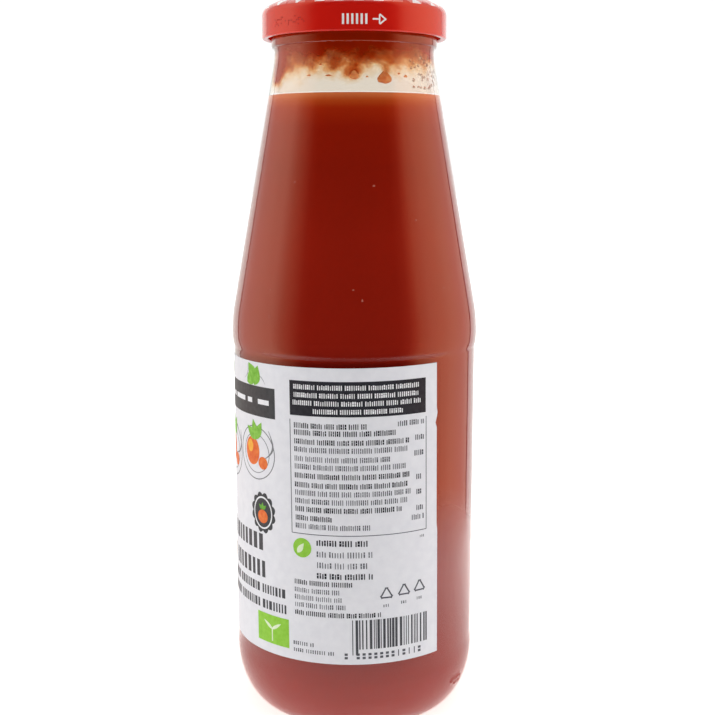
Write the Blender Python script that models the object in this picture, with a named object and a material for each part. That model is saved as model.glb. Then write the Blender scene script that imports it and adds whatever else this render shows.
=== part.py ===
"""Passata bottle: a glass bottle full of tomato passata, its metal twist-off cap and its paper label."""

import math

import bmesh
import bpy

# Lengths are in metres. The origin is on the table, at the centre of the base, and +Z points up.
# The label's printed side panel faces -Y.
SEGMENTS = 56
GAP = 0.0003

# Glass wall and base
WALL = 0.0023
BASE_THICKNESS = 0.0042
PUNT_HEIGHT = 0.0032
PUNT_RADIUS = 0.0250
REST_RADIUS = 0.0288
HEEL_HEIGHT = 0.0174
HEEL_EXPONENT = 1.8
HEEL_STEPS = 8

# Body: a plain lower band, a label panel set in slightly, and a raised upper band
LOWER_BAND_RADIUS = 0.0383
LOWER_BAND_TOP = 0.0200
PANEL_FOOT = 0.0216
PANEL_TOP = 0.1166
PANEL_RADIUS = 0.0381
UPPER_BAND_FOOT = 0.1192
UPPER_BAND_TOP = 0.1205
UPPER_BAND_RADIUS = 0.03865

# Shoulder: a round turn into a long straight cone, then a small hollow turn into the neck
SHOULDER_ANGLE = math.radians(10.2)
SHOULDER_TURN = 0.050
NECK_TURN = 0.020
NECK_RADIUS = 0.0244

# Neck bead and the finish that the cap closes on
BEAD_FOOT = 0.2072
BEAD_TOP = 0.2106
BEAD_RADIUS = 0.0255
FINISH_RADIUS = 0.0246
RIM_HEIGHT = 0.2186
RIM_ROUND = 0.0010

# Contents
FILL_LEVEL = 0.1928

# Cap
CAP_FOOT = 0.2099
CAP_RADIUS = 0.0281
CAP_SHEET = 0.0008
CURL_RADIUS = 0.0009
CURL_TOP = 0.2121
SKIRT_TOP = 0.2166
CAP_ROUND = 0.0030
CAP_CONE_ANGLE = math.radians(26.0)
CAP_CONE_INNER_RADIUS = 0.0224
CAP_CREST_RADIUS = 0.0185
CAP_PANEL_RADIUS = 0.0155
CAP_PANEL_DROP = 0.0007
LINER_OUTER_RADIUS = 0.0252
LINER_INNER_RADIUS = 0.0212

# Label: angles are measured round the bottle from -Y towards +X
LABEL_FOOT = 0.0242
LABEL_HEIGHT = 0.0906
LABEL_RIGHT_END = math.radians(40.5)
LABEL_WRAP = math.radians(300.0)
LABEL_SLANT = math.radians(0.7)
LABEL_THICKNESS = 0.0002
LABEL_COLUMNS = 50


def clear_scene():
    for old in list(bpy.data.objects):
        bpy.data.objects.remove(old, do_unlink=True)


def principled(name, colour, roughness, metallic=0.0, transmission=0.0, ior=1.5):
    material = bpy.data.materials.new(name)
    material.use_nodes = True
    shader = material.node_tree.nodes["Principled BSDF"]
    shader.inputs["Base Color"].default_value = (*colour, 1.0)
    shader.inputs["Roughness"].default_value = roughness
    shader.inputs["Metallic"].default_value = metallic
    shader.inputs["Transmission Weight"].default_value = transmission
    shader.inputs["IOR"].default_value = ior
    return material


def add_object(name, bm, material, sharp_angle=35.0):
    mesh = bpy.data.meshes.new(name)
    bm.to_mesh(mesh)
    bm.free()
    mesh.shade_smooth()
    mesh.set_sharp_from_angle(angle=math.radians(sharp_angle))
    mesh.materials.append(material)
    piece = bpy.data.objects.new(name, mesh)
    bpy.context.scene.collection.objects.link(piece)
    return piece


def turned(name, outline, material):
    """Turn an open outline of (radius, height) points, whose ends lie on the axis, into a closed piece."""
    bm = bmesh.new()
    points = [bm.verts.new((radius, 0.0, height)) for radius, height in outline]
    edges = [bm.edges.new(pair) for pair in zip(points, points[1:])]
    bmesh.ops.spin(bm, geom=points + edges, cent=(0, 0, 0), axis=(0, 0, 1), dvec=(0, 0, 0),
                   angle=math.tau, steps=SEGMENTS, use_merge=True)
    bmesh.ops.remove_doubles(bm, verts=bm.verts[:], dist=1e-6)
    bmesh.ops.recalc_face_normals(bm, faces=bm.faces[:])
    return add_object(name, bm, material)


def arc(centre, radius, start, end, steps):
    """Points of an arc about (radius, height); angles go up from the outward direction."""
    points = []
    for step in range(steps + 1):
        angle = start + (end - start) * step / steps
        points.append((centre[0] + radius * math.cos(angle), centre[1] + radius * math.sin(angle)))
    return points


def heel(depth):
    """Rounded heel from the resting ring up to the lower band, set inwards by a depth."""
    width = LOWER_BAND_RADIUS - REST_RADIUS
    points = []
    for step in range(HEEL_STEPS + 1):
        angle = 0.5 * math.pi * step / HEEL_STEPS
        across = math.sin(angle) ** (2.0 / HEEL_EXPONENT)
        up = 1.0 - math.cos(angle) ** (2.0 / HEEL_EXPONENT)
        points.append((REST_RADIUS + width * across - depth, HEEL_HEIGHT * up))
    return points


def shoulder(depth, steps):
    """Upper band, shoulder and neck up to the bead, bottom to top, set inwards by a depth."""
    turn = SHOULDER_TURN - depth
    band_centre = (UPPER_BAND_RADIUS - SHOULDER_TURN, UPPER_BAND_TOP)
    points = arc(band_centre, turn, 0.0, SHOULDER_ANGLE, steps)
    neck_turn = NECK_TURN + depth
    neck_side = NECK_RADIUS - depth
    foot_radius = neck_side + neck_turn * (1.0 - math.cos(SHOULDER_ANGLE))
    cone_radius, cone_height = points[-1]
    foot_height = cone_height + (cone_radius - foot_radius) / math.tan(SHOULDER_ANGLE)
    neck_centre = (neck_side + neck_turn, foot_height + neck_turn * math.sin(SHOULDER_ANGLE))
    turn_points = arc(neck_centre, neck_turn, math.pi + SHOULDER_ANGLE, math.pi, steps)
    return points + turn_points


def cavity(depth):
    """Inside of the bottle from the middle of its floor to the top of its neck, at a depth in the wall."""
    floor = PUNT_HEIGHT + BASE_THICKNESS + depth - WALL
    corner = BASE_THICKNESS + depth - WALL
    points = [(0.0, floor), (0.4 * PUNT_RADIUS, floor)]
    for radius, height in heel(depth)[1:]:
        share = height / HEEL_HEIGHT
        points.append((radius, corner + (HEEL_HEIGHT - corner) * share))
    points.append((PANEL_RADIUS - depth, PANEL_FOOT))
    points.append((PANEL_RADIUS - depth, PANEL_TOP))
    points += shoulder(depth, 3)
    return points


def bottle_outline():
    outside = heel(0.0)
    outside.append((LOWER_BAND_RADIUS, LOWER_BAND_TOP))
    outside.append((PANEL_RADIUS, PANEL_FOOT))
    outside.append((PANEL_RADIUS, PANEL_TOP))
    outside.append((UPPER_BAND_RADIUS, UPPER_BAND_FOOT))
    outside += shoulder(0.0, 4)
    bead_height = 0.5 * (BEAD_TOP - BEAD_FOOT)
    for step in range(7):
        angle = math.pi * step / 6
        side = NECK_RADIUS if step < 3 else FINISH_RADIUS
        radius = side + (BEAD_RADIUS - side) * math.sin(angle)
        outside.append((radius, BEAD_FOOT + bead_height * (1.0 - math.cos(angle))))
    outside += arc((FINISH_RADIUS - RIM_ROUND, RIM_HEIGHT - RIM_ROUND), RIM_ROUND, 0.0, 0.5 * math.pi, 3)
    inside = cavity(WALL)
    bore = inside[-1][0]
    rim = arc((bore + RIM_ROUND, RIM_HEIGHT - RIM_ROUND), RIM_ROUND, math.pi, 0.5 * math.pi, 3)
    punt = [(PUNT_RADIUS, 0.0), (0.8 * PUNT_RADIUS, 0.6 * PUNT_HEIGHT), (0.4 * PUNT_RADIUS, PUNT_HEIGHT)]
    punt.append((0.0, PUNT_HEIGHT))
    return inside + rim + outside[::-1] + punt


def passata_outline():
    """Contents: the cavity less the gap, cut off level at the fill line."""
    below = []
    above = None
    for point in cavity(WALL + GAP):
        if point[1] >= FILL_LEVEL:
            above = point
            break
        below.append(point)
    last = below[-1]
    share = (FILL_LEVEL - last[1]) / (above[1] - last[1])
    edge_radius = last[0] + (above[0] - last[0]) * share
    return below + [(edge_radius, FILL_LEVEL), (0.0, FILL_LEVEL)]


def cap_outline():
    round_centre = (CAP_RADIUS - CAP_ROUND, SKIRT_TOP)
    cone_start = 0.5 * math.pi - CAP_CONE_ANGLE
    shoulder_arc = arc(round_centre, CAP_ROUND, cone_start, 0.0, 5)
    cone_rise = (shoulder_arc[0][0] - CAP_CONE_INNER_RADIUS) * math.tan(CAP_CONE_ANGLE)
    cone_top = (CAP_CONE_INNER_RADIUS, shoulder_arc[0][1] + cone_rise)
    crest_round = (CAP_CONE_INNER_RADIUS - CAP_CREST_RADIUS) / math.sin(CAP_CONE_ANGLE)
    crest_centre = (CAP_CREST_RADIUS, cone_top[1] - crest_round * math.cos(CAP_CONE_ANGLE))
    crest = arc(crest_centre, crest_round, 0.5 * math.pi, cone_start, 3)
    crest_height = crest[0][1]
    panel = crest_height - CAP_PANEL_DROP
    outside = [(0.0, panel), (CAP_PANEL_RADIUS, panel)] + crest + shoulder_arc
    curl_side = CAP_RADIUS - CURL_RADIUS
    curl = arc((curl_side, CAP_FOOT + CURL_RADIUS), CURL_RADIUS, 0.0, -math.pi, 6)
    inner_skirt = CAP_RADIUS - CAP_SHEET
    inside = [(curl[-1][0], CURL_TOP - CURL_RADIUS), (inner_skirt, CURL_TOP)]
    inside += arc(round_centre, CAP_ROUND - CAP_SHEET, 0.0, cone_start, 3)
    liner = RIM_HEIGHT + GAP
    inside += [(LINER_OUTER_RADIUS, liner), (LINER_INNER_RADIUS, liner)]
    inside += [(CAP_CREST_RADIUS, crest_height - CAP_SHEET - CAP_PANEL_DROP)]
    inside += [(CAP_PANEL_RADIUS, panel - CAP_SHEET), (0.0, panel - CAP_SHEET)]
    return outside + curl + inside


def label():
    """Paper label: a thin band round the panel, a little askew, open where its two ends don't meet."""
    bm = bmesh.new()
    rings = []
    for column in range(LABEL_COLUMNS + 1):
        angle = LABEL_RIGHT_END - LABEL_WRAP * column / LABEL_COLUMNS
        foot = LABEL_FOOT + PANEL_RADIUS * angle * math.tan(LABEL_SLANT)
        ring = []
        for height, out in ((0.0, 0.0), (0.0, 1.0), (1.0, 1.0), (1.0, 0.0)):
            level = foot + LABEL_HEIGHT * height
            radius = PANEL_RADIUS + GAP + LABEL_THICKNESS * out
            turn = angle + LABEL_HEIGHT * (0.5 - height) * math.tan(LABEL_SLANT) / PANEL_RADIUS
            ring.append(bm.verts.new((radius * math.sin(turn), -radius * math.cos(turn), level)))
        rings.append(ring)
    for here, after in zip(rings, rings[1:]):
        for corner in range(4):
            following = (corner + 1) % 4
            bm.faces.new((here[corner], here[following], after[following], after[corner]))
    bm.faces.new(rings[0])
    bm.faces.new(rings[-1][::-1])
    bmesh.ops.recalc_face_normals(bm, faces=bm.faces[:])
    paper = principled("coated white label paper", (0.78, 0.78, 0.80), 0.45)
    return add_object("label", bm, paper)


def main():
    clear_scene()
    glass = principled("clear moulded glass", (0.95, 0.97, 0.96), 0.02, transmission=1.0, ior=1.52)
    sauce = principled("tomato passata", (0.26, 0.018, 0.006), 0.35)
    lacquer = principled("red lacquered tinplate", (0.42, 0.008, 0.006), 0.22, metallic=0.0)
    turned("glass_bottle", bottle_outline(), glass)
    turned("passata", passata_outline(), sauce)
    turned("cap", cap_outline(), lacquer)
    label()


main()
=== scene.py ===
import math
import random

import bpy
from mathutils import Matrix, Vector


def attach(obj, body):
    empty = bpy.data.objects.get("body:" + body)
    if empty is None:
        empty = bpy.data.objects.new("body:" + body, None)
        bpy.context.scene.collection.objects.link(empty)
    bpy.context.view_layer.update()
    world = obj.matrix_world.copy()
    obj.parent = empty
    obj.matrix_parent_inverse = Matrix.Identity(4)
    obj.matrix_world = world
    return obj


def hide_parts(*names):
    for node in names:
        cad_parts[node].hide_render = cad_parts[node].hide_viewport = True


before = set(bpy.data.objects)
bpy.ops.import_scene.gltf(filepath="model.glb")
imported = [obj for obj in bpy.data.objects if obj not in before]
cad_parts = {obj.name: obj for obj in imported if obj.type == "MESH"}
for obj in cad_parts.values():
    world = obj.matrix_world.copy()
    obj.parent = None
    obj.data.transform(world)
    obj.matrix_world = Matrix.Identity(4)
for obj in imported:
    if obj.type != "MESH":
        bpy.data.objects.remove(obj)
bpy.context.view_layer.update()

# Lengths are in metres unless a name ends in _MM. The bottle stands at the origin, +Z up, and the label's
# side panel faces -Y. Angles round the bottle run from -Y towards +X.
MM = 0.001
TURN_STEPS = 192
SMOOTH_ANGLE = math.radians(40.0)
SEED = 23

# Glass
WALL = 0.0023
BASE_THICKNESS = 0.0042
PUNT_HEIGHT = 0.0032
PUNT_RADIUS = 0.0250
REST_RADIUS = 0.0288
HEEL_HEIGHT = 0.0174
HEEL_EXPONENT = 1.8
HEEL_STEPS = 18
LOWER_BAND_RADIUS = 0.0383
LOWER_BAND_TOP = 0.0200
PANEL_FOOT = 0.0216
PANEL_TOP = 0.1166
PANEL_EDGE = 0.1164
PANEL_ROUND = 0.0006
PANEL_RADIUS = 0.0381
UPPER_BAND_FOOT = 0.1192
UPPER_BAND_TOP = 0.1205
UPPER_BAND_RADIUS = 0.03865
SHOULDER_ANGLE = math.radians(10.2)
SHOULDER_TURN = 0.050
NECK_TURN = 0.020
NECK_RADIUS = 0.0244
BEAD_FOOT = 0.2072
BEAD_TOP = 0.2106
BEAD_RADIUS = 0.0253
BEAD_ROUND = 0.0006
FINISH_RADIUS = 0.0246
RIM_HEIGHT = 0.2186
RIM_ROUND = 0.0010

# What lines the glass reaches this far into its wall, so that no air shows between them
INTO_WALL = 0.00005
FILL_LEVEL = 0.1928

# The tomato's colour up its height, as a share of the fill level. It is a little lighter low down and darkest
# in the middle. In the last few millimetres under the fill line it turns lighter and orange, which is painted
# light shining through the thin edge of tomato there.
TOMATO_AND_THROUGH_LIGHT_BY_HEIGHT = ((0.0, "#9a2210"), (0.15, "#921e0d"), (0.55, "#87190b"), (0.78, "#901a0a"),
                    (0.89, "#8a1706"), (0.950, "#901804"), (0.978, "#a22506"), (0.990, "#bb4818"),
                    (1.0, "#d57544"))

# The film's lower edge at the axis, its thick places (angle in degrees, height, reach, added thickness) and
# its colour from thin to thick
FILM_TOP = 0.2170
FILM_EDGE = 0.2025
FILM_BLOTS = (
    (-0.5, 0.1981, 0.0042, 0.0072), (-68.0, 0.1988, 0.0090, 0.0085), (22.0, 0.1988, 0.0036, 0.0028),
    (24.0, 0.2012, 0.0032, 0.0026), (-15.0, 0.2000, 0.0036, 0.0014), (-30.0, 0.1988, 0.0030, 0.0012),
    (72.0, 0.2050, 0.0060, 0.0030))
FILM_BY_LOAD = ((0.0, "#f5eee6"), (0.20, "#f4e9dc"), (0.38, "#f2dfc8"), (0.52, "#e8be94"), (0.68, "#cf8049"),
                (0.85, "#b64411"), (1.0, "#aa2c06"))

# Cap
CAP_FOOT = 0.2099
CAP_RADIUS = 0.0281
CAP_SHEET = 0.0008
CURL_RADIUS = 0.0009
CURL_EDGE = 0.0005
CURL_TOP = 0.2121
SKIRT_TOP = 0.2166
CAP_ROUND = 0.0030
CAP_CONE_ANGLE = math.radians(26.0)
CAP_CONE_INNER_RADIUS = 0.0224
CAP_CREST_RADIUS = 0.0185
CAP_PANEL_RADIUS = 0.0155
CAP_PANEL_DROP = 0.0007
LINER_OUTER_RADIUS = 0.0252
LINER_INNER_RADIUS = 0.0212
CAP_RED = "#cc1a10"
GINGHAM_BAND = 0.0028
GINGHAM_FOOT = 0.2182

# Label, with its layout in millimetres: across from the panel's middle, up from the table
LABEL_RADIUS = 0.03815
LABEL_THICKNESS = 0.00014
LABEL_RIGHT_MM = 27.0
LABEL_LEFT_MM = -172.8
LABEL_FOOT_MM = 24.2
LABEL_TOP_MM = 114.45
LABEL_SLANT = math.radians(0.7)
INK_THICKNESS = 0.00004
BEND_STEP_MM = 1.5

# The room that mirror rays see, by bearing: 0 beyond the bottle, 0.25 its left, 0.5 behind the camera
ROOM_BY_BEARING = (
    (0.0, "#9c9c9c"), (0.065, "#b0b2ae"), (0.1125, "#bcb9b3"), (0.114, "#241a18"), (0.118, "#241a18"),
    (0.1205, "#a69790"), (0.16, "#bf9a8c"), (0.218, "#dfb49c"), (0.267, "#e6b69a"), (0.305, "#b48468"),
    (0.324, "#a06c52"), (0.341, "#80503a"), (0.358, "#44261a"), (0.378, "#000000"), (0.616, "#000000"),
    (0.642, "#6e3020"), (0.659, "#b85c40"), (0.676, "#da8561"), (0.71, "#efa27e"), (0.738, "#f5ab86"),
    (0.787, "#ebb091"), (0.8415, "#cb9989"), (0.879, "#b6978a"), (0.882, "#241a18"), (0.886, "#241a18"),
    (0.8885, "#beadaa"), (0.93, "#b1b0ad"), (1.0, "#9c9c9c"))

# Camera, found by fitting the photo
CAMERA_PLACE = (0.001, -0.3743, 0.1733)
CAMERA_PITCH = math.radians(80.606)
CAMERA_LENS_MM = 59.70
BOTTLE_MIDDLE = Vector((0.0, 0.0, 0.11))


def linear(code):
    """Linear RGBA of an sRGB hex colour."""
    channels = []
    for start in (1, 3, 5):
        value = int(code[start:start + 2], 16) / 255
        channels.append(value / 12.92 if value <= 0.04045 else ((value + 0.055) / 1.055) ** 2.4)
    return (*channels, 1.0)


def per_metre(size_mm):
    """A pattern's scale, from the real size of its waves, clouds or grains in millimetres."""
    return 1.0 / (size_mm * MM)


def link(tree, source, socket):
    """Link an output, or a node's first output, to an input."""
    if isinstance(source, bpy.types.Node):
        source = source.outputs[0]
    tree.links.new(source, socket)


def add_node(tree, kind, inputs=None, stops=None, **settings):
    """Add a shader node. An input given as a node or an output is linked, any other value is set."""
    made = tree.nodes.new("ShaderNode" + kind)
    for name, value in settings.items():
        setattr(made, name, value)
    for name, value in (inputs or {}).items():
        if isinstance(value, (bpy.types.Node, bpy.types.NodeSocket)):
            link(tree, value, made.inputs[name])
        else:
            made.inputs[name].default_value = value
    if stops:
        ends = made.color_ramp.elements
        for element, (place, code) in zip((ends[0], ends[1]), (stops[0], stops[-1])):
            element.position = place
            element.color = linear(code)
        for place, code in stops[1:-1]:
            ends.new(place).color = linear(code)
    return made


def clouded(tree, place, size_mm, detail, low, high):
    """A colour that drifts between two tones in soft clouds."""
    cloud = add_node(tree, "TexNoise", {"Vector": place, "Scale": per_metre(size_mm), "Detail": detail})
    return add_node(tree, "ValToRGB", {"Fac": cloud}, stops=[(0.3, low), (0.7, high)])


def new_material(name, **inputs):
    """A material with a bare Principled shader, whose sockets are set by name."""
    material = bpy.data.materials.new(name)
    material.use_nodes = True
    tree = material.node_tree
    tree.nodes.clear()
    shader = add_node(tree, "BsdfPrincipled", {key.replace("_", " "): value for key, value in inputs.items()})
    add_node(tree, "OutputMaterial", {"Surface": shader})
    place = add_node(tree, "TexCoord").outputs["Object"]
    return material, tree, shader, place


def finish_with(tree, shader, colour=None, height=None, strength=0.1, distance=0.0001):
    """Link a colour and a relief to the shader."""
    if colour is not None:
        link(tree, colour, shader.inputs["Base Color"])
    if height is not None:
        bump = add_node(tree, "Bump", {"Height": height, "Strength": strength, "Distance": distance})
        link(tree, bump, shader.inputs["Normal"])


# Materials

def moulded_glass():
    """Flint soda-lime glass blown in an iron mould: colourless, with a slow ripple that bends reflections."""
    material, tree, shader, place = new_material(
        "soda_lime_glass_blown_in_mould", Base_Color=linear("#fbfdfc"), Transmission_Weight=1.0, IOR=1.52,
        Roughness=0.0)
    squeezed = add_node(tree, "Mapping", {"Vector": place, "Scale": (1.0, 1.0, 0.35)})
    ripple = add_node(tree, "TexNoise", {"Vector": squeezed, "Scale": per_metre(14.3), "Detail": 1.0})
    finish_with(tree, shader, height=ripple, strength=0.25, distance=0.0003)
    return material


def sieved_tomato():
    """Cooked and sieved tomato, dense red. Its colour turns lighter and orange just under the surface:
    painted light, shining through the thin edge of tomato there. The fine pulp is drawn a millimetre coarse,
    so that it shows."""
    material, tree, shader, place = new_material(
        "sieved_cooked_tomato", Roughness=0.55, IOR=1.36, Specular_IOR_Level=0.05,
        Subsurface_Weight=0.15, Subsurface_Radius=(1.0, 0.25, 0.1), Subsurface_Scale=0.003)
    height = add_node(tree, "SeparateXYZ", {"Vector": place}).outputs["Z"]
    share = add_node(tree, "MapRange", {"Value": height, "From Max": FILL_LEVEL})
    # Painted light: the colour lightens to orange just under the fill line
    tomato_and_through_light = add_node(tree, "ValToRGB", {"Fac": share}, stops=TOMATO_AND_THROUGH_LIGHT_BY_HEIGHT)
    cloud = add_node(tree, "TexNoise", {"Vector": place, "Scale": per_metre(22.22), "Detail": 3.0})
    pulp = add_node(tree, "TexNoise", {"Vector": place, "Scale": per_metre(1.111), "Detail": 2.0})
    mottle = add_node(tree, "Math", {0: cloud, 1: pulp}, operation="ADD")
    tone = add_node(tree, "MapRange", {
        "Value": mottle, "From Min": 0.6, "From Max": 1.4, "To Min": 0.95, "To Max": 1.05})
    toned = add_node(tree, "VectorMath", {0: tomato_and_through_light, 1: tone}, operation="MULTIPLY")
    finish_with(tree, shader, colour=toned)
    return material


def dried_tomato_film():
    """A splashed film of tomato, dried on the glass: thick and brown-red high up, thin and straw-coloured at
    its ragged lower edge, where white light comes through. The edge is higher at the right and the back."""
    material, tree, shader, place = new_material(
        "dried_tomato_film", IOR=1.0, Roughness=0.0, Specular_IOR_Level=0.0)
    parts = add_node(tree, "SeparateXYZ", {"Vector": place})
    lean = add_node(tree, "Math", {0: parts.outputs["X"], 1: 0.03, 2: FILM_EDGE}, operation="MULTIPLY_ADD")
    edge = add_node(tree, "Math", {0: parts.outputs["Y"], 1: 0.07, 2: lean}, operation="MULTIPLY_ADD")
    above = add_node(tree, "Math", {0: parts.outputs["Z"], 1: edge}, operation="SUBTRACT")
    stretched = add_node(tree, "Mapping", {"Vector": place, "Scale": (1.0, 1.0, 1.2)})
    cloud = add_node(tree, "TexNoise", {
        "Vector": stretched, "Scale": per_metre(5.263), "Detail": 4.0, "Roughness": 0.6})
    ragged = add_node(tree, "MapRange", {
        "Value": cloud, "From Min": 0.3, "From Max": 0.7, "To Min": -0.0026, "To Max": 0.0026})
    reach = add_node(tree, "Math", {0: above, 1: ragged}, operation="ADD")
    for turn, height, size, amount in FILM_BLOTS:
        middle = on_wall(WALL, turn, height)
        away = add_node(tree, "VectorMath", {0: place, 1: middle}, operation="DISTANCE")
        blot = add_node(tree, "MapRange", {
            "Value": away.outputs["Value"], "From Max": size, "To Min": amount, "To Max": 0.0},
            interpolation_type="SMOOTHSTEP")
        reach = add_node(tree, "Math", {0: reach, 1: blot}, operation="ADD")
    load = add_node(tree, "MapRange", {"Value": reach, "From Min": -0.0055, "From Max": 0.0050})
    stain = add_node(tree, "ValToRGB", {"Fac": load}, stops=FILM_BY_LOAD)
    clear = add_node(tree, "MapRange", {"Value": load, "From Min": 0.5, "To Min": 1.0, "To Max": 0.55})
    link(tree, clear, shader.inputs["Transmission Weight"])
    finish_with(tree, shader, colour=stain)
    return material


def tomato_drop():
    """Drops of tomato that ran down and dried: orange, denser in the middle."""
    material, tree, shader, place = new_material("dried_tomato_drop", Roughness=0.4, IOR=1.40,
                                                 Subsurface_Weight=0.3, Subsurface_Scale=0.001,
                                                 Subsurface_Radius=(1.0, 0.4, 0.15))
    finish_with(tree, shader, colour=clouded(tree, place, 2.0, 2.0, "#d0682c", "#e79658"))
    return material


def condensed_water():
    """Water that settled on the cold glass: small clear lenses, each with a bright and a dark side."""
    material, tree, shader, place = new_material("condensed_water", Transmission_Weight=1.0, IOR=1.33,
                                                 Base_Color=linear("#f6f4f2"), Roughness=0.05)
    swell = add_node(tree, "TexNoise", {"Vector": place, "Scale": per_metre(1.111), "Detail": 1.0})
    finish_with(tree, shader, height=swell, strength=0.3, distance=0.0002)
    return material


def glass_seed():
    """Seeds and dust on the glass: pale specks that catch the light."""
    material, tree, shader, place = new_material("pale_seed_in_glass", Roughness=0.4, IOR=1.5)
    finish_with(tree, shader, colour=clouded(tree, place, 1.111, 1.0, "#9a4a3c", "#b0665a"))
    return material


def lacquered_tinplate():
    """Tinplate, coated with red lacquer and printed with white gingham before it was pressed: glossy, with a
    faint orange peel."""
    material, tree, shader, place = new_material("red_lacquered_tinplate", Roughness=0.16, IOR=1.5)
    parts = add_node(tree, "SeparateXYZ", {"Vector": place})
    bands = []
    for axis in ("X", "Y"):
        wave = add_node(tree, "Math", {0: parts.outputs[axis], 1: 2.0 * GINGHAM_BAND, 2: 0.0},
                        operation="WRAP")
        bands.append(add_node(tree, "Math", {0: wave, 1: GINGHAM_BAND}, operation="GREATER_THAN"))
    both = add_node(tree, "Math", {0: bands[0], 1: bands[1]}, operation="ADD")
    halves = add_node(tree, "Math", {0: both, 1: 0.5}, operation="MULTIPLY")
    gingham = add_node(tree, "ValToRGB", {"Fac": halves}, stops=[
        (0.0, "#f4efee"), (0.5, "#df706a"), (1.0, CAP_RED)])
    on_top = add_node(tree, "Math", {0: parts.outputs["Z"], 1: GINGHAM_FOOT}, operation="GREATER_THAN")
    paint = add_node(tree, "Mix", {0: on_top, 6: linear(CAP_RED), 7: gingham}, data_type="RGBA")
    peel = add_node(tree, "TexNoise", {"Vector": place, "Scale": per_metre(0.8333), "Detail": 1.0})
    finish_with(tree, shader, colour=paint.outputs[2], height=peel, strength=0.08, distance=0.00005)
    return material


def inner_enamel():
    """Cream food-safe enamel inside the cap, with its softer sealing ring."""
    material, tree, shader, place = new_material("cream_inner_enamel", Roughness=0.35, IOR=1.5)
    finish_with(tree, shader, colour=clouded(tree, place, 3.333, 2.0, "#e2dccb", "#ece7da"))
    return material


def coated_paper():
    """Clay-coated label paper, calendered: cool white, faintly cloudy, with slow waves left by the glue."""
    material, tree, shader, place = new_material("coated_label_paper", Roughness=0.5, IOR=1.45,
                                                 Specular_IOR_Level=0.12)
    tone = clouded(tree, place, 2.5, 3.0, "#e4e4e9", "#eaeaee")
    squeezed = add_node(tree, "Mapping", {"Vector": place, "Scale": (1.0, 1.0, 0.25)})
    glue = add_node(tree, "TexNoise", {"Vector": squeezed, "Scale": per_metre(16.67), "Detail": 2.0})
    finish_with(tree, shader, colour=tone, height=glue, strength=0.25, distance=0.0004)
    return material


def offset_ink(name, low, high):
    """Offset litho ink on coated paper: a thin, slightly uneven film with the paper's own low gloss."""
    material, tree, shader, place = new_material("offset_ink_" + name, Roughness=0.5, IOR=1.47,
                                                 Specular_IOR_Level=0.12)
    finish_with(tree, shader, colour=clouded(tree, place, 1.4286, 3.0, low, high))
    return material


def white_table(name, glow, tint="#ffffff", fade=None):
    """White laminate that glows until it is as bright as the backdrop. With a fade, given as two lengths in
    front of the bottle, the glowing patch is an oval that thins out between them. Its glow is brighter at its
    sides, a painted pool of the soft boxes' light."""
    material, tree, shader, place = new_material(name, Roughness=0.6, IOR=1.45,
                                                 Emission_Color=linear(tint), Emission_Strength=glow)
    if fade:
        oval = add_node(tree, "Mapping", {"Vector": place, "Scale": (0.75, 1.0, 1.0)})
        away = add_node(tree, "VectorMath", {0: oval}, operation="LENGTH")
        cover = add_node(tree, "MapRange", {
            "Value": away.outputs["Value"], "From Min": fade[0], "From Max": fade[1], "To Min": 1.0,
            "To Max": 0.0}, interpolation_type="SMOOTHSTEP")
        link(tree, cover, shader.inputs["Alpha"])
        # Painted light: the glow rises towards the sides, as a pool of the soft boxes' light
        across = add_node(tree, "SeparateXYZ", {"Vector": place}).outputs["X"]
        aside = add_node(tree, "Math", {0: across}, operation="ABSOLUTE")
        painted_side_glow = add_node(tree, "MapRange", {
            "Value": aside, "From Min": 0.07, "From Max": 0.15, "To Min": glow, "To Max": glow + 0.7})
        link(tree, painted_side_glow, shader.inputs["Emission Strength"])
    finish_with(tree, shader, colour=clouded(tree, place, 333.3, 2.0, "#f3f3f3", "#f6f6f6"))
    return material


# Turned pieces

def deselect():
    for piece in list(bpy.context.selected_objects):
        piece.select_set(False)


def hold(piece):
    """Make a piece the only one selected and the active one."""
    deselect()
    piece.select_set(True)
    bpy.context.view_layer.objects.active = piece


def place_in_mesh(piece):
    hold(piece)
    bpy.ops.object.transform_apply(location=True, rotation=True, scale=True)


def start_edit(element, everything=True):
    """Enter edit mode on the active piece, with everything selected or the selection as it is."""
    bpy.ops.object.mode_set(mode="EDIT")
    bpy.ops.mesh.select_mode(type=element)
    if everything:
        bpy.ops.mesh.select_all(action="SELECT")


def end_edit():
    bpy.ops.object.mode_set(mode="OBJECT")


def select_only(mesh, kind, wanted):
    """Select the vertices or polygons that a test picks, and nothing else."""
    for name in ("vertices", "edges", "polygons"):
        for element in getattr(mesh, name):
            element.select = name == kind and wanted(element)


def joined(pieces, name):
    """Join pieces into the first of them."""
    deselect()
    for piece in pieces:
        piece.select_set(True)
    bpy.context.view_layer.objects.active = pieces[0]
    bpy.ops.object.join()
    pieces[0].name = name
    return pieces[0]


def add_modifier(piece, kind, **settings):
    """Add a modifier and apply it."""
    hold(piece)
    modifier = piece.modifiers.new(kind.title(), kind)
    for name, value in settings.items():
        setattr(modifier, name, value)
    bpy.ops.object.modifier_apply(modifier=modifier.name)


def arc(centre, radius, start, end, steps):
    """Points of an arc about (radius, height); angles go up from the outward direction."""
    points = []
    for step in range(steps + 1):
        angle = start + (end - start) * step / steps
        points.append((centre[0] + radius * math.cos(angle), centre[1] + radius * math.sin(angle)))
    return points


def heel(depth):
    """Rounded heel from the resting ring up to the lower band, set inwards by a depth."""
    points = []
    for step in range(HEEL_STEPS + 1):
        angle = 0.5 * math.pi * step / HEEL_STEPS
        across = math.sin(angle) ** (2.0 / HEEL_EXPONENT)
        up = 1.0 - math.cos(angle) ** (2.0 / HEEL_EXPONENT)
        points.append((REST_RADIUS + (LOWER_BAND_RADIUS - REST_RADIUS) * across - depth, HEEL_HEIGHT * up))
    return points


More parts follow.
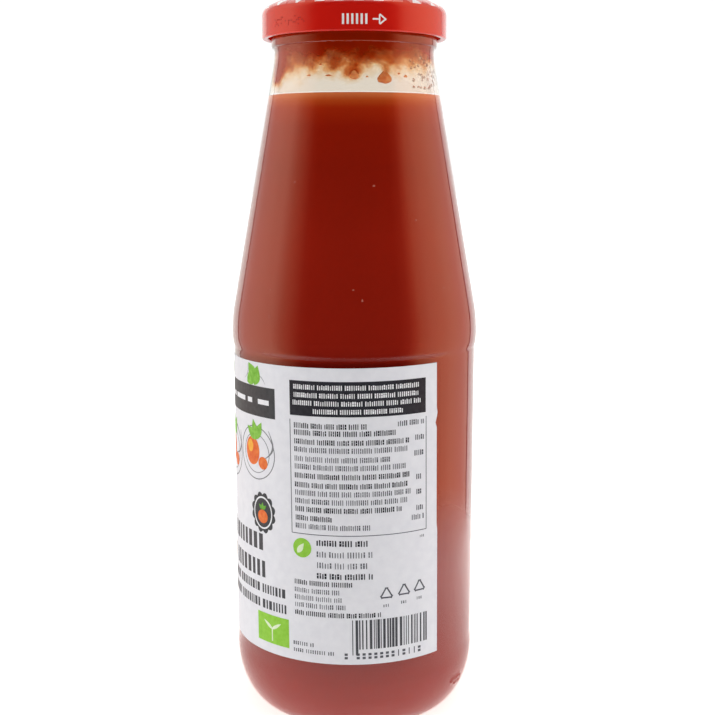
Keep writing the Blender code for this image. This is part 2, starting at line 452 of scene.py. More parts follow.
def shoulder(depth, steps):
    """Upper band, shoulder and neck up to the bead, set inwards by a depth."""
    points = arc((UPPER_BAND_RADIUS - SHOULDER_TURN, UPPER_BAND_TOP), SHOULDER_TURN - depth, 0.0,
                 SHOULDER_ANGLE, steps)
    neck_turn = NECK_TURN + depth
    neck_side = NECK_RADIUS - depth
    foot_radius = neck_side + neck_turn * (1.0 - math.cos(SHOULDER_ANGLE))
    foot_height = points[-1][1] + (points[-1][0] - foot_radius) / math.tan(SHOULDER_ANGLE)
    neck_centre = (neck_side + neck_turn, foot_height + neck_turn * math.sin(SHOULDER_ANGLE))
    return points + arc(neck_centre, neck_turn, math.pi + SHOULDER_ANGLE, math.pi, steps)


def cavity(depth):
    """Inside of the bottle from the middle of its floor to the neck, at a depth in the wall."""
    floor = PUNT_HEIGHT + BASE_THICKNESS + depth - WALL
    corner = BASE_THICKNESS + depth - WALL
    points = [(0.0, floor), (0.4 * PUNT_RADIUS, floor)]
    for radius, height in heel(depth)[1:]:
        points.append((radius, corner + (HEEL_HEIGHT - corner) * height / HEEL_HEIGHT))
    points.append((PANEL_RADIUS - depth, PANEL_FOOT))
    points.append((PANEL_RADIUS - depth, PANEL_TOP))
    return points + shoulder(depth, 8)


def glass_outline():
    outside = heel(0.0) + [(LOWER_BAND_RADIUS, LOWER_BAND_TOP), (PANEL_RADIUS, PANEL_FOOT)]
    outside += [(PANEL_RADIUS, PANEL_FOOT + PANEL_ROUND), (PANEL_RADIUS, PANEL_EDGE - PANEL_ROUND)]
    outside += [(PANEL_RADIUS, PANEL_EDGE), (PANEL_RADIUS + 0.0004, PANEL_EDGE + 0.0009)]
    outside += [(UPPER_BAND_RADIUS - 0.00004, UPPER_BAND_FOOT)]
    outside += shoulder(0.0, 8)
    foot_height = BEAD_FOOT + BEAD_ROUND
    outside += arc((BEAD_RADIUS - BEAD_ROUND, foot_height), BEAD_ROUND, -0.5 * math.pi, 0.0, 5)
    outside += arc((BEAD_RADIUS - BEAD_ROUND, BEAD_TOP - BEAD_ROUND), BEAD_ROUND, 0.0, 0.5 * math.pi, 5)
    outside.append((FINISH_RADIUS, BEAD_TOP))
    outside += arc((FINISH_RADIUS - RIM_ROUND, RIM_HEIGHT - RIM_ROUND), RIM_ROUND, 0.0, 0.5 * math.pi, 5)
    inside = cavity(WALL)
    rim = arc((inside[-1][0] + RIM_ROUND, RIM_HEIGHT - RIM_ROUND), RIM_ROUND, math.pi, 0.5 * math.pi, 5)
    punt = [(PUNT_RADIUS, 0.0), (0.8 * PUNT_RADIUS, 0.6 * PUNT_HEIGHT), (0.4 * PUNT_RADIUS, PUNT_HEIGHT)]
    return inside + rim + outside[::-1] + punt + [(0.0, PUNT_HEIGHT)]


def cavity_up_to(depth, level):
    """The cavity's side at a depth, cut off at a level."""
    below = []
    for point in cavity(depth):
        if point[1] >= level:
            last = below[-1]
            share = (level - last[1]) / (point[1] - last[1])
            return below + [(last[0] + (point[0] - last[0]) * share, level)]
        below.append(point)
    return below + [(below[-1][0], level)]


def passata_outline():
    """Contents up to the fill line, drawn up a little where they wet the wall."""
    side = cavity_up_to(WALL - INTO_WALL, FILL_LEVEL)
    edge = side[-1][0]
    return side + [(edge - 0.0002, FILL_LEVEL + 0.0001), (edge - 0.0012, FILL_LEVEL - 0.0006),
                   (edge - 0.0030, FILL_LEVEL - 0.0009), (0.0, FILL_LEVEL - 0.0009)]


def film_outline():
    """A closed ring of film on the neck's wall, from just over the contents to under the rim."""
    start = FILL_LEVEL + 0.0004
    outer = [point for point in cavity_up_to(WALL - INTO_WALL, FILM_TOP) if point[1] > start]
    foot = cavity_up_to(WALL - INTO_WALL, start)[-1]
    outer = [foot] + outer
    inner = [(radius - 0.0004, height) for radius, height in outer[::-1]]
    inner[-1] = (foot[0] - 0.0001, foot[1])
    return outer + inner + [foot]


def cap_outline():
    round_centre = (CAP_RADIUS - CAP_ROUND, SKIRT_TOP)
    cone_start = 0.5 * math.pi - CAP_CONE_ANGLE
    shoulder_arc = arc(round_centre, CAP_ROUND, cone_start, 0.0, 10)
    cone_rise = (shoulder_arc[0][0] - CAP_CONE_INNER_RADIUS) * math.tan(CAP_CONE_ANGLE)
    cone_top = (CAP_CONE_INNER_RADIUS, shoulder_arc[0][1] + cone_rise)
    crest_round = (CAP_CONE_INNER_RADIUS - CAP_CREST_RADIUS) / math.sin(CAP_CONE_ANGLE)
    crest_centre = (CAP_CREST_RADIUS, cone_top[1] - crest_round * math.cos(CAP_CONE_ANGLE))
    crest = arc(crest_centre, crest_round, 0.5 * math.pi, cone_start, 8)
    crest_height = crest[0][1]
    panel = crest_height - CAP_PANEL_DROP
    outside = [(0.0, panel), (CAP_PANEL_RADIUS, panel)] + crest + shoulder_arc
    curl = arc((CAP_RADIUS - CURL_EDGE, CAP_FOOT + CURL_EDGE), CURL_EDGE, 0.0, -0.5 * math.pi, 6)
    curl += arc((CAP_RADIUS - 2.0 * CURL_RADIUS + CURL_EDGE, CAP_FOOT + CURL_EDGE), CURL_EDGE,
                -0.5 * math.pi, -math.pi, 6)
    inside = [(curl[-1][0], CURL_TOP - CURL_RADIUS), (CAP_RADIUS - CAP_SHEET, CURL_TOP)]
    inside += arc(round_centre, CAP_ROUND - CAP_SHEET, 0.0, cone_start, 6)
    liner = RIM_HEIGHT + 0.0003
    inside += [(LINER_OUTER_RADIUS, liner), (LINER_INNER_RADIUS, liner)]
    inside += [(CAP_CREST_RADIUS, crest_height - CAP_SHEET - CAP_PANEL_DROP)]
    inside += [(CAP_PANEL_RADIUS, panel - CAP_SHEET), (0.0, panel - CAP_SHEET)]
    return outside + curl + inside


def drawn_line(points):
    """A line of (across, up) points in the XZ plane, drawn by extruding one point on. Edit mode stays on."""
    deselect()
    bpy.ops.mesh.primitive_plane_add(size=0.001)
    piece = bpy.context.object
    start_edit("VERT")
    bpy.ops.mesh.merge(type="CENTER")
    bpy.ops.transform.translate(value=(points[0][0], 0.0, points[0][1]))
    for here, there in zip(points, points[1:]):
        step = (there[0] - here[0], 0.0, there[1] - here[1])
        bpy.ops.mesh.extrude_region_move(TRANSFORM_OT_translate={"value": step})
    bpy.ops.mesh.select_all(action="SELECT")
    return piece


def turned(name, outline, material):
    """Spin an outline of (radius, height) points round the bottle's axis."""
    piece = drawn_line(outline)
    piece.name = name
    bpy.ops.mesh.spin(steps=TURN_STEPS, angle=math.tau, center=(0.0, 0.0, 0.0), axis=(0.0, 0.0, 1.0))
    bpy.ops.mesh.select_all(action="SELECT")
    bpy.ops.mesh.remove_doubles(threshold=2e-6)
    bpy.ops.mesh.normals_make_consistent(inside=False)
    end_edit()
    bpy.ops.object.shade_smooth_by_angle(angle=SMOOTH_ANGLE)
    piece.data.materials.append(material)
    return piece


# Flat shapes for the print, modelled once at a size of 1 and stamped on the sheet

def flat_shape(corners, hollow=0.0):
    """A flat disc or polygon one unit across that faces -Y; hollow leaves a ring of that inner share."""
    deselect()
    bpy.ops.mesh.primitive_circle_add(vertices=corners, radius=0.5, fill_type="NGON",
                                      rotation=(0.5 * math.pi, 0.0, 0.0))
    shape = bpy.context.object
    bpy.ops.object.transform_apply(location=False, rotation=True, scale=False)
    if hollow:
        start_edit("FACE")
        bpy.ops.mesh.inset(thickness=0.5 * (1.0 - hollow))
        bpy.ops.mesh.delete(type="FACE")
        end_edit()
    face_front(shape)
    return shape


def face_front(shape):
    """Turn a flat shape's faces towards -Y."""
    if shape.data.polygons[0].normal.y > 0.0:
        hold(shape)
        start_edit("VERT")
        bpy.ops.mesh.flip_normals()
        end_edit()


def drawn_shape(points):
    """A flat shape drawn round its outline, then filled."""
    shape = drawn_line(points)
    bpy.ops.mesh.edge_face_add()
    end_edit()
    face_front(shape)
    return shape


def leaf_points(steps=9):
    """Outline of a leaf one unit long along Z, widest below its middle."""
    right = []
    for step in range(steps):
        share = step / steps
        right.append((0.24 * math.sin(math.pi * share ** 0.8), share - 0.5))
    left = [(-across, up) for across, up in right[1:][::-1]]
    return right + [(0.0, 0.5)] + left


def scalloped_points(lobes=12, steps=5, depth=0.07):
    """Outline of a round badge with a scalloped edge, one unit across."""
    points = []
    for step in range(lobes * steps):
        angle = math.tau * step / (lobes * steps)
        reach = 0.5 - depth + depth * abs(math.sin(0.5 * lobes * angle))
        points.append((reach * math.cos(angle), reach * math.sin(angle)))
    return points


def curved_stroke_points(bend=0.35, width=0.06, steps=10):
    """Outline of a pen stroke that bows sideways, one unit long along Z."""
    near, far = [], []
    for step in range(steps + 1):
        share = step / steps
        middle = bend * math.sin(math.pi * share)
        half = 0.5 * width * (0.25 + math.sin(math.pi * share))
        near.append((middle - half, share - 0.5))
        far.append((middle + half, share - 0.5))
    return near + far[::-1]


inks = {}
draw = random.Random(SEED)


def stamp(ink, shape, across, up, width, height, turn=0.0):
    """Lay a copy of a shape on the flat sheet; the place and the size are in millimetres."""
    mark = shape.copy()
    mark.data = shape.data.copy()
    mark.location = (across * MM, 0.0, up * MM)
    mark.rotation_euler = (0.0, turn, 0.0)
    mark.scale = (width * MM, 1.0, height * MM)
    bpy.context.scene.collection.objects.link(mark)
    inks.setdefault(ink, []).append(mark)


def slant_sheet(sheet):
    """Turn a flat sheet a little in its plane, as the label was stuck on askew."""
    middle = 0.5 * (LABEL_FOOT_MM + LABEL_TOP_MM) * MM
    for shift, turn in ((-middle, 0.0), (0.0, -LABEL_SLANT), (middle, 0.0)):
        sheet.location = (0.0, 0.0, shift)
        sheet.rotation_euler = (0.0, turn, 0.0)
        place_in_mesh(sheet)


def wrap(sheet, radius):
    """Bend a flat sheet round the bottle's axis; its Y=0 comes to lie at the radius."""
    across = [vertex.co.x for vertex in sheet.data.vertices]
    width = max(across) - min(across)
    add_modifier(sheet, "SIMPLE_DEFORM", deform_method="BEND", deform_axis="Z", angle=width / radius)
    sheet.location = (0.0, -radius, 0.0)
    place_in_mesh(sheet)


def press(name, marks, radius, material, askew=True):
    """Join one ink's marks, cut them up to bend well, give them a thickness and wrap them."""
    sheet = joined(marks, name)
    place_in_mesh(sheet)
    if askew:
        slant_sheet(sheet)
    across = [vertex.co.x for vertex in sheet.data.vertices]
    step = BEND_STEP_MM * MM
    hold(sheet)
    bpy.ops.object.mode_set(mode="EDIT")
    for cut in range(math.ceil(min(across) / step), math.floor(max(across) / step) + 1):
        bpy.ops.mesh.select_all(action="SELECT")
        bpy.ops.mesh.bisect(plane_co=(cut * step, 0.0, 0.0), plane_no=(1.0, 0.0, 0.0))
    end_edit()
    add_modifier(sheet, "SOLIDIFY", thickness=INK_THICKNESS, offset=0.0)
    wrap(sheet, radius)
    sheet.data.materials.append(material)
    return sheet


# The label

def paper_sheet(material):
    """The label: a grid cut to size, nicked and creased at its right edge, thickened and wrapped."""
    deselect()
    width = LABEL_RIGHT_MM - LABEL_LEFT_MM
    height = LABEL_TOP_MM - LABEL_FOOT_MM
    bpy.ops.mesh.primitive_grid_add(x_subdivisions=134, y_subdivisions=60, size=1.0,
                                    rotation=(0.5 * math.pi, 0.0, 0.0))
    sheet = bpy.context.object
    sheet.name = "label_paper"
    sheet.scale = (width * MM, height * MM, 1.0)
    sheet.location = (0.5 * (LABEL_RIGHT_MM + LABEL_LEFT_MM) * MM, 0.0,
                      0.5 * (LABEL_FOOT_MM + LABEL_TOP_MM) * MM)
    place_in_mesh(sheet)
    face_front(sheet)
    nudge_edge(sheet, 95.6, 97.4, -0.5)
    nudge_edge(sheet, 98.3, 99.6, 0.3)
    nudge_edge(sheet, 24.0, 64.0, 0.25)
    slant_sheet(sheet)
    add_modifier(sheet, "SOLIDIFY", thickness=LABEL_THICKNESS, offset=0.0)
    wrap(sheet, LABEL_RADIUS)
    bpy.ops.object.shade_smooth_by_angle(angle=SMOOTH_ANGLE)
    sheet.data.materials.append(material)
    return sheet


def nudge_edge(sheet, low, high, shift):
    """Move the part of the label's right edge between two heights sideways; all in millimetres."""
    hold(sheet)
    left = (LABEL_RIGHT_MM - 0.7) * MM
    select_only(sheet.data, "vertices",
                lambda vertex: vertex.co.x > left and low * MM < vertex.co.z < high * MM)
    start_edit("VERT", everything=False)
    bpy.ops.transform.translate(value=(shift * MM, 0.0, 0.0))
    end_edit()


def word_row(ink, start, end, up, height, pitch, weight, words):
    """A row of plain ticks: groups of upright marks, each whole or in two short pieces."""
    here = start
    while here < end - pitch:
        for _ in range(draw.randint(*words)):
            if here > end - pitch:
                break
            wide = pitch * weight * draw.uniform(0.8, 1.25)
            middle = here + 0.5 * pitch
            tall = height * draw.choice((1.0, 1.0, 0.86))
            if draw.random() < 0.72:
                stamp(ink, SQUARE, middle, up - 0.5 * (height - tall), wide, tall)
            else:
                split = draw.choice((0.30, 0.42, 0.52))
                for place, part in ((0.5 * (1.0 - split), split), (-0.5 * split, 1.0 - split)):
                    stamp(ink, SQUARE, middle, up + height * place, wide * 1.45, height * part * 0.86)
            here += pitch
        here += pitch * 0.8


def text_block(rows, start, height, pitch, weights, words):
    """Rows of ticks, given as (height on the label, right end, bold); weights are for plain and bold type."""
    for up, end, bold in rows:
        word_row("dark" if bold else "grey", start, end, up, height, pitch, weights[bold], words)


def side_panel():
    """The printed side panel: header, table, notes, code and signs, as fields and ticks."""
    stamp("dark", SQUARE, 1.7, 105.3, 42.1, 10.4)
    for up, start, end in ((108.7, -18.1, 21.2), (106.3, -18.1, 21.2), (104.0, -18.5, 21.6),
                           (101.6, -12.0, 15.6)):
        word_row("white", start, end, up, 1.45, 0.64, 0.46, (6, 12))
    for across, up, width, height in ((-19.4, 81.6, 0.22, 34.6), (22.9, 81.6, 0.22, 34.6),
                                      (1.75, 64.3, 42.3, 0.22)):
        stamp("grey", SQUARE, across, up, width, height)
    text_block(((97.2, 4.3, 1), (95.1, 13.2, 1), (92.4, 17.6, 1), (90.0, 17.6, 0), (87.2, 12.0, 0),
                (84.8, 17.0, 0), (82.1, 17.6, 1), (79.3, 16.8, 1), (76.9, 17.6, 0), (74.4, 17.0, 0),
                (71.9, 15.0, 1), (69.2, -6.0, 1), (66.7, 5.0, 0)),
               -18.2, 1.6, 0.62, (0.40, 0.46), (5, 11))
    for up, start in ((97.6, 13.2), (92.9, 18.9), (88.2, 18.6), (80.9, 19.2), (76.3, 19.2), (71.4, 19.2),
                      (68.6, 17.6)):
        word_row("grey", start, 22.2, up, 1.6, 0.66, 0.46, (3, 5))
    word_row("grey", 20.4, 22.6, 62.4, 0.8, 0.6, 0.3, (3, 3))
    stamp("green", DISC, -16.1, 59.9, 6.0, 6.0)
    stamp("pale", LEAF, -16.6, 59.8, 3.6, 3.8, math.radians(35.0))
    text_block(((61.9, 4.6, 1), (58.4, 5.8, 0), (55.0, 4.4, 0), (51.7, 5.6, 1)),
               -11.6, 1.8, 0.80, (0.34, 0.48), (4, 9))
    text_block(((49.2, 0.2, 1), (46.7, -4.0, 0), (44.4, -3.6, 0), (42.1, -2.2, 0), (39.6, 8.4, 1)),
               -19.0, 1.5, 0.64, (0.34, 0.46), (5, 10))
    for across, up in ((9.5, 45.9), (15.1, 46.3), (20.4, 46.7)):
        loop_sign(across, up, 4.4)
        word_row("grey", across - 1.2, across + 1.5, up - 3.6, 0.9, 0.7, 0.32, (3, 4))
    bar_code()
    text_block(((29.7, -12.6, 0), (27.5, -5.8, 0)), -19.8, 1.2, 0.72, (0.36, 0.36), (4, 9))


def loop_sign(across, up, size):
    """A three-sided loop sign with its point up: three long strokes, and a short one over each corner."""
    for third in range(3):
        angle = math.radians(120.0 * third)
        out = 0.25 * size
        stamp("grey", SQUARE, across + out * math.sin(angle), up - out * math.cos(angle), 0.60 * size, 0.44,
              -angle)
        out = 0.42 * size
        stamp("grey", SQUARE, across + out * math.sin(angle), up + out * math.cos(angle), 0.24 * size, 0.44,
              angle)


def bar_code():
    """A plain bar pattern, with whole and parted ticks under it."""
    here = -1.0
    number = 0
    while here < 22.8:
        wide = draw.choice((0.26, 0.26, 0.4, 0.5, 0.75))
        tall = 11.0 if number < 2 else 9.2
        stamp("code", SQUARE, here + 0.5 * wide, 38.2 - 0.5 * tall, wide, tall)
        here += wide + draw.choice((0.26, 0.3, 0.5, 0.75))
        number += 1
    for across in [-2.9] + [0.7 + 1.78 * number for number in range(12)]:
        if draw.random() < 0.7:
            stamp("grey", SQUARE, across, 27.4, 0.95, 0.75)
            stamp("grey", SQUARE, across, 26.3, 0.95, 0.75)
        else:
            stamp("grey", SQUARE, across, 26.9, 0.3, 2.0)


def front_panel(middle):
    """The front: a dark banner, plates of tomato and basil, a badge, heavy title bars and a green field."""
    half = 45.8
    stamp("banner", SQUARE, middle, 102.6, 2.0 * half, 9.2)
    plates = ((36.6, 86.6, 17.6), (18.0, 84.6, 18.6), (0.0, 86.4, 21.0))
    for side in (-1.0, 1.0):
        for number, width in enumerate((5.0, 2.6, 7.5, 3.4)):
            stamp("white", SQUARE, middle + side * (half - 5.0 - 6.9 * number), 102.6, width, 1.5)
        stamp("green", DISC, middle + side * (half - 34.0), 102.6, 5.4, 5.4)
    for side in (-1.0, 1.0):
        for place, up, size in plates if side < 0.0 else plates[:2]:
            plate(middle + side * place, up, size, side)
        for place, up, turn in ((37.6, 110.4, 16.0), (35.2, 109.6, 58.0), (35.4, 111.4, -38.0),
                                (12.5, 109.8, -35.0)):
            stamp("leaf", LEAF, middle + side * place, up, 8.6, 6.4, math.radians(side * turn))
        for place, up, turn in ((39.6, 109.3, -62.0), (32.0, 111.2, 24.0)):
            stamp("line", STROKE, middle + side * place, up, 2.6, 5.0, math.radians(side * turn))
        badge(middle + side * 39.5, 68.3)
    for up, start, end in ((58.9, -39.0, 39.3), (50.4, -36.0, 40.1)):
        title_row(middle + start, middle + end, up, 5.2, 1.45, 4.2)
    for up, start, end in ((44.3, -20.0, 48.3), (39.4, -30.0, 48.6)):
        title_row(middle + start, middle + end, up, 2.8, 0.66, 2.2)
    green_field(middle + 42.8, 31.9)


def plate(across, up, size, side):
    """A plate in outline with halved tomatoes and basil, brushed loosely."""
    stamp("line", RING_THIN, across, up, size, 0.95 * size)
    stamp("line", RING_THIN, across, up - 0.01 * size, 0.74 * size, 0.70 * size)
    stamp("tomato", DISC, across - 0.10 * side * size, up + 0.02 * size, 0.42 * size, 0.50 * size)
    stamp("amber", DISC, across - 0.16 * side * size, up + 0.10 * size, 0.17 * size, 0.22 * size)
    stamp("tomato", DISC, across + 0.20 * side * size, up - 0.16 * size, 0.24 * size, 0.22 * size)
    for turn in (-55.0, -15.0, 28.0):
        angle = math.radians(turn)
        stamp("leaf", LEAF, across + 0.02 * size + 0.16 * size * math.sin(angle),
              up + 0.24 * size + 0.17 * size * math.cos(angle), 0.36 * size, 0.36 * size, angle)
    stamp("line", STROKE, across + 0.28 * side * size, up + 0.16 * size, 0.5 * size, 0.55 * size,
          math.radians(side * draw.uniform(15.0, 40.0)))


def badge(across, up):
    """A scalloped dark badge with a pale oval, a tomato and two leaves."""
    stamp("banner", SCALLOP, across, up, 11.4, 13.0)
    stamp("white", OVAL_RING, across, up, 8.6, 10.2)
    stamp("tomato", DISC, across, up - 1.2, 4.6, 4.2)
    for turn in (-50.0, 0.0, 50.0):
        angle = math.radians(turn)
        stamp("leaf_top", LEAF, across + 1.1 * math.sin(angle), up + 1.1 + math.cos(angle), 2.2, 2.3, angle)


def title_row(start, end, up, height, weight, pitch):
    """A row of heavy plain bars in groups, laid from its right end."""
    here = end
    count = 0
    while here > start:
        count += 1
        wide = weight * draw.choice((0.8, 1.0, 1.3, 1.8))
        stamp("title", SQUARE, here - 0.5 * wide, up, wide, height)
        here -= wide + 0.26 * pitch
        if count % 9 == 8:
            here -= 0.4 * pitch


def green_field(across, up):
    """A green field with a pale seedling."""
    stamp("green", SQUARE, across, up, 13.3, 9.1)
    stamp("pale", SQUARE, across, up - 1.6, 0.45, 4.2)
    for side in (-1.0, 1.0):
        stamp("pale", LEAF, across + side * 1.7, up + 1.3, 2.2, 4.6, math.radians(side * 58.0))


def far_panel(middle):
    """The far side panel: a green bar, rows of ticks, a plate and a plain empty box."""
    stamp("green", SQUARE, middle, 106.4, 43.0, 5.2)
    word_row("white", middle - 19.0, middle + 19.0, 106.4, 1.9, 0.95, 0.5, (4, 9))
    ends = [20.6 - 3.1 * (row % 4 == 3) - 1.3 * (row % 3) for row in range(13)]
    text_block([(100.6 - 2.55 * row, middle + end, row % 5 == 0) for row, end in enumerate(ends)],
               middle - 20.8, 1.5, 0.64, (0.42, 0.42), (4, 10))
    plate(middle - 11.0, 55.0, 17.0, 1.0)
    text_block([(61.5 - 2.5 * row, middle + 20.6 - 2.0 * (row % 2), 0) for row in range(6)],
               middle + 2.5, 1.3, 0.66, (0.40, 0.40), (4, 9))
    for across, up, width, height in ((0.0, 41.4, 42.0, 0.3), (0.0, 29.6, 42.0, 0.3),
                                      (-20.85, 35.5, 0.3, 12.1), (20.85, 35.5, 0.3, 12.1)):
        stamp("grey", SQUARE, middle + across, up, width, height)
    text_block([(38.9 - 2.6 * row, middle - 2.0 - 3.0 * row, 0) for row in range(3)],
               middle - 18.6, 1.3, 0.66, (0.40, 0.40), (4, 8))


def dot_code():
    """A faint jet-printed mark on the skirt: five rows of dots with chance gaps."""
    for row in range(5):
        for column in range(20):
            if draw.random() < 0.42:
                stamp("jet_dots", DISC, -27.2 + 0.64 * column, 212.3 + 0.56 * row, 0.36, 0.36)


def cap_print():
    """Print on the skirt: plain upright bars and an arrow."""
    for number in range(6):
        stamp("cap_white", SQUARE, -3.1 + 1.32 * number, 213.1, 0.62, 2.9)
    stamp("cap_white", SQUARE, 6.3, 213.1, 1.9, 0.45)
    for side in (-1.0, 1.0):
        stamp("cap_white", SQUARE, 8.35, 213.1 + side * 0.62, 0.42, 2.5, math.radians(side * -52.0))
    stamp("cap_white", SQUARE, 7.35, 213.1, 0.42, 2.6)


# Relief and residue

def heel_marks(glass, low, high, foot, top, relief):
    """A moulder's mark on the heel, between two angles and two heights: every other column pushed out."""
    def marked(face):
        centre = face.center
        angle = math.degrees(math.atan2(centre.x, -centre.y))
        outward = face.normal.x * centre.x + face.normal.y * centre.y > 0.0
        column = round(angle / (360.0 / TURN_STEPS))
        return outward and low < angle < high and foot < centre.z < top and column % 2 == 0

    hold(glass)
    select_only(glass.data, "polygons", marked)
    start_edit("FACE", everything=False)
    bpy.ops.mesh.inset(thickness=0.0002, depth=relief, use_individual=True)
    end_edit()


def on_wall(depth, angle, height):
    """The place at a depth in the glass, given by its angle in degrees and its height."""
    radius = cavity_up_to(depth, height)[-1][0]
    turn = math.radians(angle)
    return (radius * math.sin(turn), -radius * math.cos(turn), height)


def drops(name, places, material, depth_in_wall=WALL, fineness=3):
    """Flattened drops at a depth in the glass; places are (angle in degrees, height, width, drop, depth)."""
    made = []
    for angle, height, width, tall, depth in places:
        deselect()
        bpy.ops.mesh.primitive_ico_sphere_add(subdivisions=fineness, radius=1.0)
        drop = bpy.context.object
        drop.scale = (0.5 * width, depth, 0.5 * tall)
        place_in_mesh(drop)
        start_edit("VERT")
        bpy.ops.transform.vertex_random(offset=0.05 * width, seed=int(angle * 10) % 97)
        end_edit()
        add_modifier(drop, "SIMPLE_DEFORM", deform_method="TAPER", deform_axis="Z", factor=-1.1)
        drop.rotation_euler = (0.0, 0.0, math.radians(angle))
        drop.location = on_wall(depth_in_wall, angle, height)
        place_in_mesh(drop)
        made.append(drop)
    piece = joined(made, name)
    bpy.ops.object.shade_smooth()
    piece.data.materials.append(material)
    return piece


# Build

glass = turned("bottle_glass", glass_outline(), moulded_glass())
heel_marks(glass, 54.0, 63.0, 0.0088, 0.0122, 0.0004)
heel_marks(glass, -3.0, 17.0, 0.0098, 0.0118, 0.0001)
passata = turned("passata_fill", passata_outline(), sieved_tomato())
film = turned("residue_film", film_outline(), dried_tomato_film())
cap = turned("cap_shell", cap_outline(), lacquered_tinplate())
cap.data.materials.append(inner_enamel())
for face in cap.data.polygons:
    out = math.hypot(face.center.x, face.center.y)
    under = face.normal.z < -0.3 and out < 0.0262
    behind_skirt = out < CAP_RADIUS - 1.2 * CAP_SHEET and CURL_TOP < face.center.z < SKIRT_TOP
    if under or behind_skirt:
        face.material_index = 1
residue = drops("residue_drops", (
    (0.0, 0.1978, 0.0024, 0.0026, 0.0004), (21.6, 0.1972, 0.0039, 0.0036, 0.0006),
    (38.5, 0.1977, 0.0012, 0.0008, 0.0002), (33.0, 0.1984, 0.0008, 0.0006, 0.0002),
    (-33.0, 0.1979, 0.0012, 0.0005, 0.0002), (-18.0, 0.1977, 0.0018, 0.0005, 0.0002),
    (9.0, 0.1973, 0.0007, 0.0005, 0.0002), (-24.5, 0.2009, 0.0008, 0.0006, 0.0002)), tomato_drop())
mist = [(draw.uniform(44.0, 88.0), draw.uniform(0.1938, 0.2045), draw.uniform(0.0005, 0.0011),
         draw.uniform(0.0005, 0.0012), 0.0004) for _ in range(60)]
mist += [(draw.uniform(-28.0, 14.0), draw.uniform(0.2012, 0.2068), draw.uniform(0.0004, 0.0007),
          draw.uniform(0.0003, 0.0005), 0.0003) for _ in range(22)]
water = drops("condensed_droplets", mist, condensed_water(), fineness=2)
seeds = drops("glass_seeds", (
    (-33.7, 0.1674, 0.0007, 0.0005, 0.0001), (10.5, 0.1664, 0.0008, 0.0006, 0.0001),
    (33.1, 0.1565, 0.0005, 0.0005, 0.0001), (46.3, 0.1365, 0.0006, 0.0006, 0.0001),
    (-0.3, 0.1370, 0.0006, 0.0005, 0.0001), (3.7, 0.1340, 0.0005, 0.0009, 0.0001),
    (-42.5, 0.1360, 0.0005, 0.0008, 0.0001), (-41.2, 0.1285, 0.0004, 0.0012, 0.0001),
    (118.0, 0.1500, 0.0006, 0.0005, 0.0001), (-150.0, 0.1420, 0.0007, 0.0005, 0.0001)),
    glass_seed(), depth_in_wall=0.0, fineness=2)

SQUARE = drawn_shape([(-0.5, -0.5), (0.5, -0.5), (0.5, 0.5), (-0.5, 0.5)])
DISC = flat_shape(28)
RING_THIN = flat_shape(40, hollow=0.965)
OVAL_RING = flat_shape(32, hollow=0.90)
LEAF = drawn_shape(leaf_points())
SCALLOP = drawn_shape(scalloped_points())
STROKE = drawn_shape(curved_stroke_points())

paper = paper_sheet(coated_paper())
side_panel()
front_panel(-70.7)
far_panel(-144.0)
cap_print()
dot_code()

# Each ink's name, its two tones and the layer that it is printed in
INK_LOOKS = {
    "dark": ("charcoal", "#2a2b31", "#34353b", 0),
    "banner": ("slate", "#3e4144", "#484b4e", 0),
    "code": ("code_black", "#48494e", "#525358", 0),
    "title": ("graphite", "#45464a", "#505155", 0),
    "grey": ("grey", "#55565d", "#62636a", 0),
    "line": ("pencil_grey", "#77787c", "#8a8b8f", 0),
    "green": ("green", "#8cc63f", "#9ad14e", 1),
    "leaf": ("leaf_green", "#6fae3a", "#93cc5a", 2),
    "tomato": ("tomato_red", "#dc6236", "#ea8445", 1),
    "amber": ("amber", "#f0a63c", "#f6bd55", 2),
    "white": ("white", "#e9e9ec", "#f0f0f2", 2),
    "pale": ("pale_green", "#dcecc4", "#e6f3d2", 2),
    "leaf_top": ("basil_green", "#5f9c3a", "#74b348", 2),
}
prints = []
face_radius = LABEL_RADIUS + 0.5 * LABEL_THICKNESS
for ink, (name, low, high, layer) in INK_LOOKS.items():
    radius = face_radius + 0.3 * INK_THICKNESS + 0.6 * INK_THICKNESS * layer
    prints.append(press("label_print_" + name, inks[ink], radius, offset_ink(name, low, high)))
cap_marks = press("cap_print_white", inks["cap_white"], CAP_RADIUS + 0.3 * INK_THICKNESS,
                  offset_ink("cap_white", "#ecebe9", "#f4f3f1"), askew=False)
jet_marks = press("cap_jet_dots", inks["jet_dots"], CAP_RADIUS + 0.3 * INK_THICKNESS,
                  offset_ink("jet_dark_red", "#8e1218", "#a0181c"), askew=False)
for shape in (SQUARE, DISC, RING_THIN, OVAL_RING, LEAF, SCALLOP, STROKE):
    bpy.data.objects.remove(shape, do_unlink=True)

# Light reaches the contents straight through the clear glass and the thin film
for clear_piece in (glass, film):
    clear_piece.visible_shadow = False
    clear_piece.visible_diffuse = False

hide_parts("glass_bottle")
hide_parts("passata")
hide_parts("cap")
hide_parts("label")
for piece, slot in ((glass, "clear_glass"), (passata, "tomato_passata"), (film, "tomato_passata"),
                    (residue, "tomato_passata"), (water, "clear_glass"), (seeds, "clear_glass"),
                    (cap, "red_lacquer"), (cap_marks, "red_lacquer"), (jet_marks, "red_lacquer"),
                    (paper, "label_paper")):
    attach(piece, "root")
for sheet in prints:
    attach(sheet, "root")

# Floor, light and camera

def lit_disc(name, radius, level, material, unseen_by):
    """A round piece of floor, and the kinds of ray that don't see it."""
    deselect()
    bpy.ops.mesh.primitive_circle_add(vertices=96, radius=radius, fill_type="NGON",
                                      location=(0.0, 0.0, level))
    disc = bpy.context.object
    disc.name = name
    disc.data.materials.append(material)
    for ray in unseen_by:
        setattr(disc, "visible_" + ray, False)


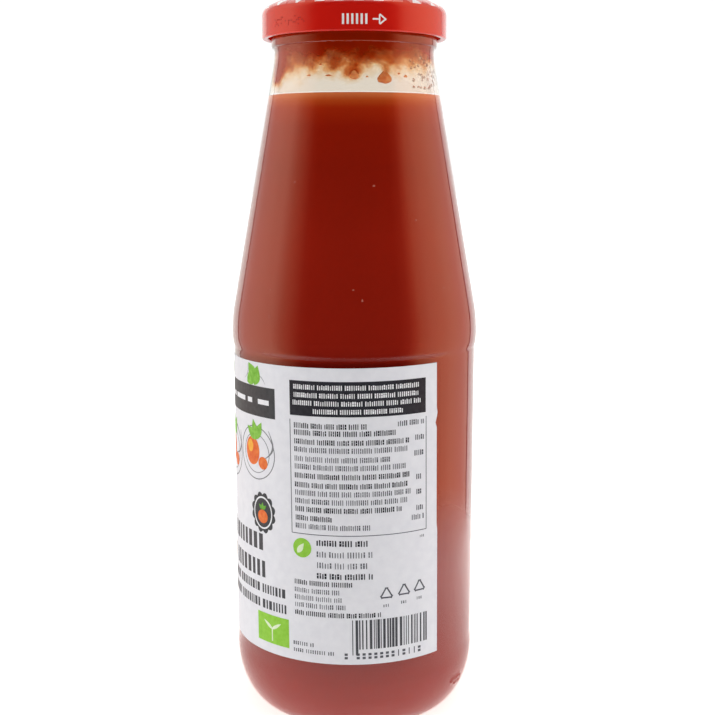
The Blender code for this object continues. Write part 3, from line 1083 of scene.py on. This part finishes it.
lit_disc("floor", 0.62, -0.0002, white_table("white_laminate_table", 0.76, "#fff5ef", (0.125, 0.235)),
         ("diffuse",))
lit_disc("floor_bounce", 0.62, -0.0008, white_table("white_laminate_bounce", 0.66),
         ("camera", "glossy", "transmission"))
lit_disc("far_floor", 6.0, -0.0012, white_table("white_sweep", 1.1), ("glossy", "diffuse"))


def soft_light(name, size, place, strength, seen_in_gloss=False):
    """A square soft box that looks at the bottle's middle; strength is its brightness against white."""
    data = bpy.data.lights.new(name, "AREA")
    data.shape = "RECTANGLE"
    data.size, data.size_y = size
    data.energy = strength * math.pi * size[0] * size[1]
    lamp = bpy.data.objects.new(name, data)
    bpy.context.scene.collection.objects.link(lamp)
    lamp.location = place
    lamp.rotation_euler = (BOTTLE_MIDDLE - lamp.location).to_track_quat("-Z", "Y").to_euler()
    lamp.visible_camera = False
    lamp.visible_glossy = seen_in_gloss
    lamp.visible_transmission = False


soft_light("soft_box_left", (0.6, 0.8), (-0.85, -0.22, 0.35), 2.5)
soft_light("soft_box_right", (0.6, 0.8), (0.85, -0.22, 0.35), 2.6)
soft_light("soft_box_over", (0.9, 0.7), (0.0, -0.15, 1.1), 2.1, seen_in_gloss=True)

world = bpy.data.worlds.new("white_studio")
bpy.context.scene.world = world
world.use_nodes = True
tree = world.node_tree
tree.nodes.clear()
towards = add_node(tree, "TexCoord").outputs["Generated"]
parts = add_node(tree, "SeparateXYZ", {"Vector": towards})
# The bearing as a share of a full turn
turned_y = add_node(tree, "Math", {0: parts.outputs["Y"], 1: -1.0}, operation="MULTIPLY")
angle = add_node(tree, "Math", {0: parts.outputs["X"], 1: turned_y}, operation="ARCTAN2")
share = add_node(tree, "MapRange", {"Value": angle, "From Min": -math.pi, "From Max": math.pi})
room = add_node(tree, "ValToRGB", {"Fac": share}, stops=ROOM_BY_BEARING)
# The boxes at the sides are three times as bright as white paper
boxes = add_node(tree, "VectorMath", {0: room, "Scale": 3.0}, operation="SCALE")
path = add_node(tree, "LightPath")
mirrored = add_node(tree, "Math", {0: 1.0, 1: path.outputs["Is Transmission Ray"]}, operation="SUBTRACT")
glossy = add_node(tree, "Math", {0: path.outputs["Is Glossy Ray"], 1: mirrored}, operation="MULTIPLY")
seen = add_node(tree, "Mix", {0: path.outputs["Is Diffuse Ray"], 6: linear("#ffffff"), 7: linear("#595959")},
                data_type="RGBA")
light = add_node(tree, "Mix", {0: glossy, 6: seen.outputs[2], 7: boxes}, data_type="RGBA")
back_light = add_node(tree, "Background", {"Color": light.outputs[2], "Strength": 1.03})
add_node(tree, "OutputWorld", {"Surface": back_light})

camera_data = bpy.data.cameras.new("camera")
camera_data.lens = CAMERA_LENS_MM
camera_data.sensor_width = 36.0
camera_data.dof.use_dof = False
camera = bpy.data.objects.new("camera", camera_data)
bpy.context.scene.collection.objects.link(camera)
camera.location = CAMERA_PLACE
camera.rotation_euler = (CAMERA_PITCH, 0.0, 0.0)
bpy.context.scene.camera = camera
bpy.context.scene.view_settings.view_transform = "Standard"
